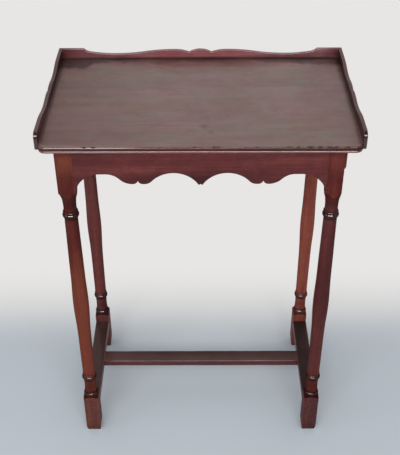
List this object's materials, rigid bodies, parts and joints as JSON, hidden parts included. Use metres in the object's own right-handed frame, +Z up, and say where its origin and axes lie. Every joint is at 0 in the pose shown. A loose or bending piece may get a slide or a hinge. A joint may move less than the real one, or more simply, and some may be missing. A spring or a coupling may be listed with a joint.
{
  "type": "tray top tea table",
  "caption": "Tray-top tea table with a shaped three-sided gallery, scalloped aprons, turned legs with square feet and an H-shaped stretcher.",
  "frame": {"origin": "on the floor, under the middle of the table's outline", "axes": "+Z up; +X to the right of someone in front of the open edge of the tray; +Y from that open edge to the back gallery"},
  "size_m": [0.52, 0.3244, 0.7104],
  "materials": {
    "tray_mahogany": "semi-gloss french polish, grain along X, a little faded",
    "gallery_mahogany": "semi-gloss french polish, grain along each strip",
    "apron_mahogany": "semi-gloss french polish, grain along each board",
    "leg_mahogany": "gloss french polish, grain upright",
    "stretcher_mahogany": "semi-gloss french polish, darkened by wear and dust",
    "bare_wood": "unpolished"
  },
  "bodies": {
    "root": {"top_board": "tray_mahogany", "gallery_back": "gallery_mahogany", "gallery_left": "gallery_mahogany", "gallery_right": "gallery_mahogany", "apron_front": "apron_mahogany", "apron_back": "apron_mahogany", "apron_left": "apron_mahogany", "apron_right": "apron_mahogany", "leg_front_left": "leg_mahogany", "leg_front_right": "leg_mahogany", "leg_back_left": "leg_mahogany", "leg_back_right": "leg_mahogany", "stretcher_left": "stretcher_mahogany", "stretcher_right": "stretcher_mahogany", "stretcher_cross": "stretcher_mahogany", "glue_block_front_left": "bare_wood", "glue_block_front_right": "bare_wood", "glue_block_back_left": "bare_wood", "glue_block_back_right": "bare_wood", "glue_block_left": "bare_wood", "glue_block_right": "bare_wood"}
  },
  "joints": []
}
